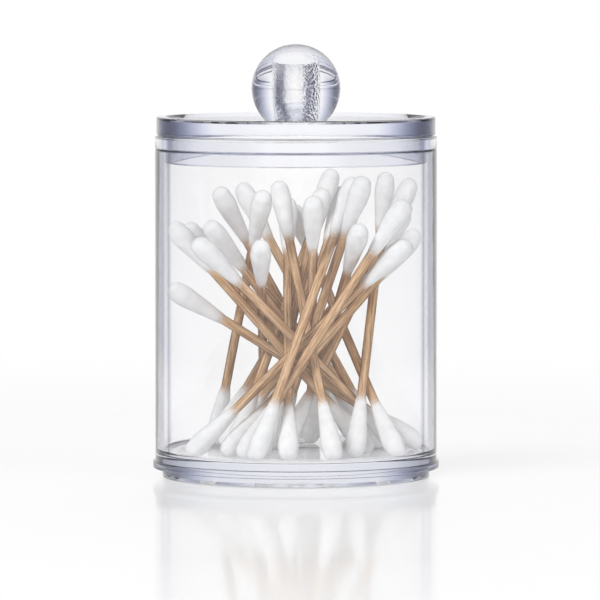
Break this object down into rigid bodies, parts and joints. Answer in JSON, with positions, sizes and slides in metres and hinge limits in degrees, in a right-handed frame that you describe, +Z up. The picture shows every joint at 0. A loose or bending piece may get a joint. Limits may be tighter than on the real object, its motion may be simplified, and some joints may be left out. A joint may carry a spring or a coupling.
{
  "type": "cotton swab jar",
  "caption": "Round clear plastic bathroom jar with a plug-in lid and a ball knob, holding a leaning bundle of double-ended cotton swabs on wooden sticks.",
  "frame": {"origin": "centre of the foot's underside", "axes": "+Z up along the jar's axis, +X to the right and +Y away from the viewer in the picture's view"},
  "size_m": [0.0712, 0.0712, 0.1075],
  "materials": {
    "clear_jar": "clear, polished",
    "clear_lid": "clear, polished",
    "clear_knob": "clear, polished",
    "wood_stick": "bare, fine grain",
    "cotton": "wound cotton, soft"
  },
  "bodies": {
    "jar": {"jar": "clear_jar", "swab_01_stick": "wood_stick", "swab_02_stick": "wood_stick", "swab_03_stick": "wood_stick", "swab_04_stick": "wood_stick", "swab_05_stick": "wood_stick", "swab_06_stick": "wood_stick", "swab_07_stick": "wood_stick", "swab_08_stick": "wood_stick", "swab_09_stick": "wood_stick", "swab_10_stick": "wood_stick", "swab_11_stick": "wood_stick", "swab_12_stick": "wood_stick", "swab_13_stick": "wood_stick", "swab_14_stick": "wood_stick", "swab_15_stick": "wood_stick", "swab_16_stick": "wood_stick", "swab_17_stick": "wood_stick", "swab_18_stick": "wood_stick", "swab_19_stick": "wood_stick", "swab_20_stick": "wood_stick", "swab_21_stick": "wood_stick", "swab_22_stick": "wood_stick", "swab_23_stick": "wood_stick", "swab_24_stick": "wood_stick", "swab_25_stick": "wood_stick", "swab_26_stick": "wood_stick", "swab_27_stick": "wood_stick", "swab_01_tips": "cotton", "swab_02_tips": "cotton", "swab_03_tips": "cotton", "swab_04_tips": "cotton", "swab_05_tips": "cotton", "swab_06_tips": "cotton", "swab_07_tips": "cotton", "swab_08_tips": "cotton", "swab_09_tips": "cotton", "swab_10_tips": "cotton", "swab_11_tips": "cotton", "swab_12_tips": "cotton", "swab_13_tips": "cotton", "swab_14_tips": "cotton", "swab_15_tips": "cotton", "swab_16_tips": "cotton", "swab_17_tips": "cotton", "swab_18_tips": "cotton", "swab_19_tips": "cotton", "swab_20_tips": "cotton", "swab_21_tips": "cotton", "swab_22_tips": "cotton", "swab_23_tips": "cotton", "swab_24_tips": "cotton", "swab_25_tips": "cotton", "swab_26_tips": "cotton", "swab_27_tips": "cotton"},
    "lid": {"lid": "clear_lid", "knob": "clear_knob"}
  },
  "joints": [
    {"name": "lid_lift", "type": "slide", "parent": "jar", "child": "lid", "axis": [0, 0, 1], "range_m": [0, 0.08]}
  ]
}
